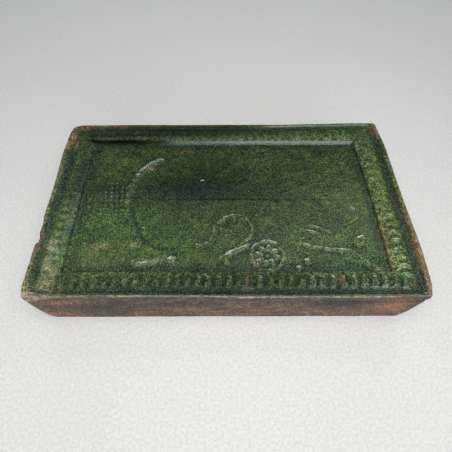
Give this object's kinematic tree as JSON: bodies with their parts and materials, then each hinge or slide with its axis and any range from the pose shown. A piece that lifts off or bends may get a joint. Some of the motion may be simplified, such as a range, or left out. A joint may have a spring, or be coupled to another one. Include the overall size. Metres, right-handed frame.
{
  "type": "stove tile",
  "caption": "Rectangular green-glazed stove tile with a relief vase of flowers, a stamped border and an open collar behind.",
  "frame": {"origin": "centre of the tile's plan, at the level of the collar's rim, which the tile lies on", "axes": "+X to the end that is the top in the stove wall, +Y across the tile, +Z out of the glazed face"},
  "size_m": [0.31, 0.18, 0.06],
  "materials": {
    "glazed_clay": "glossy mottled green lead glaze over red fired clay"
  },
  "bodies": {
    "root": {"stove_tile": "glazed_clay"}
  },
  "joints": []
}
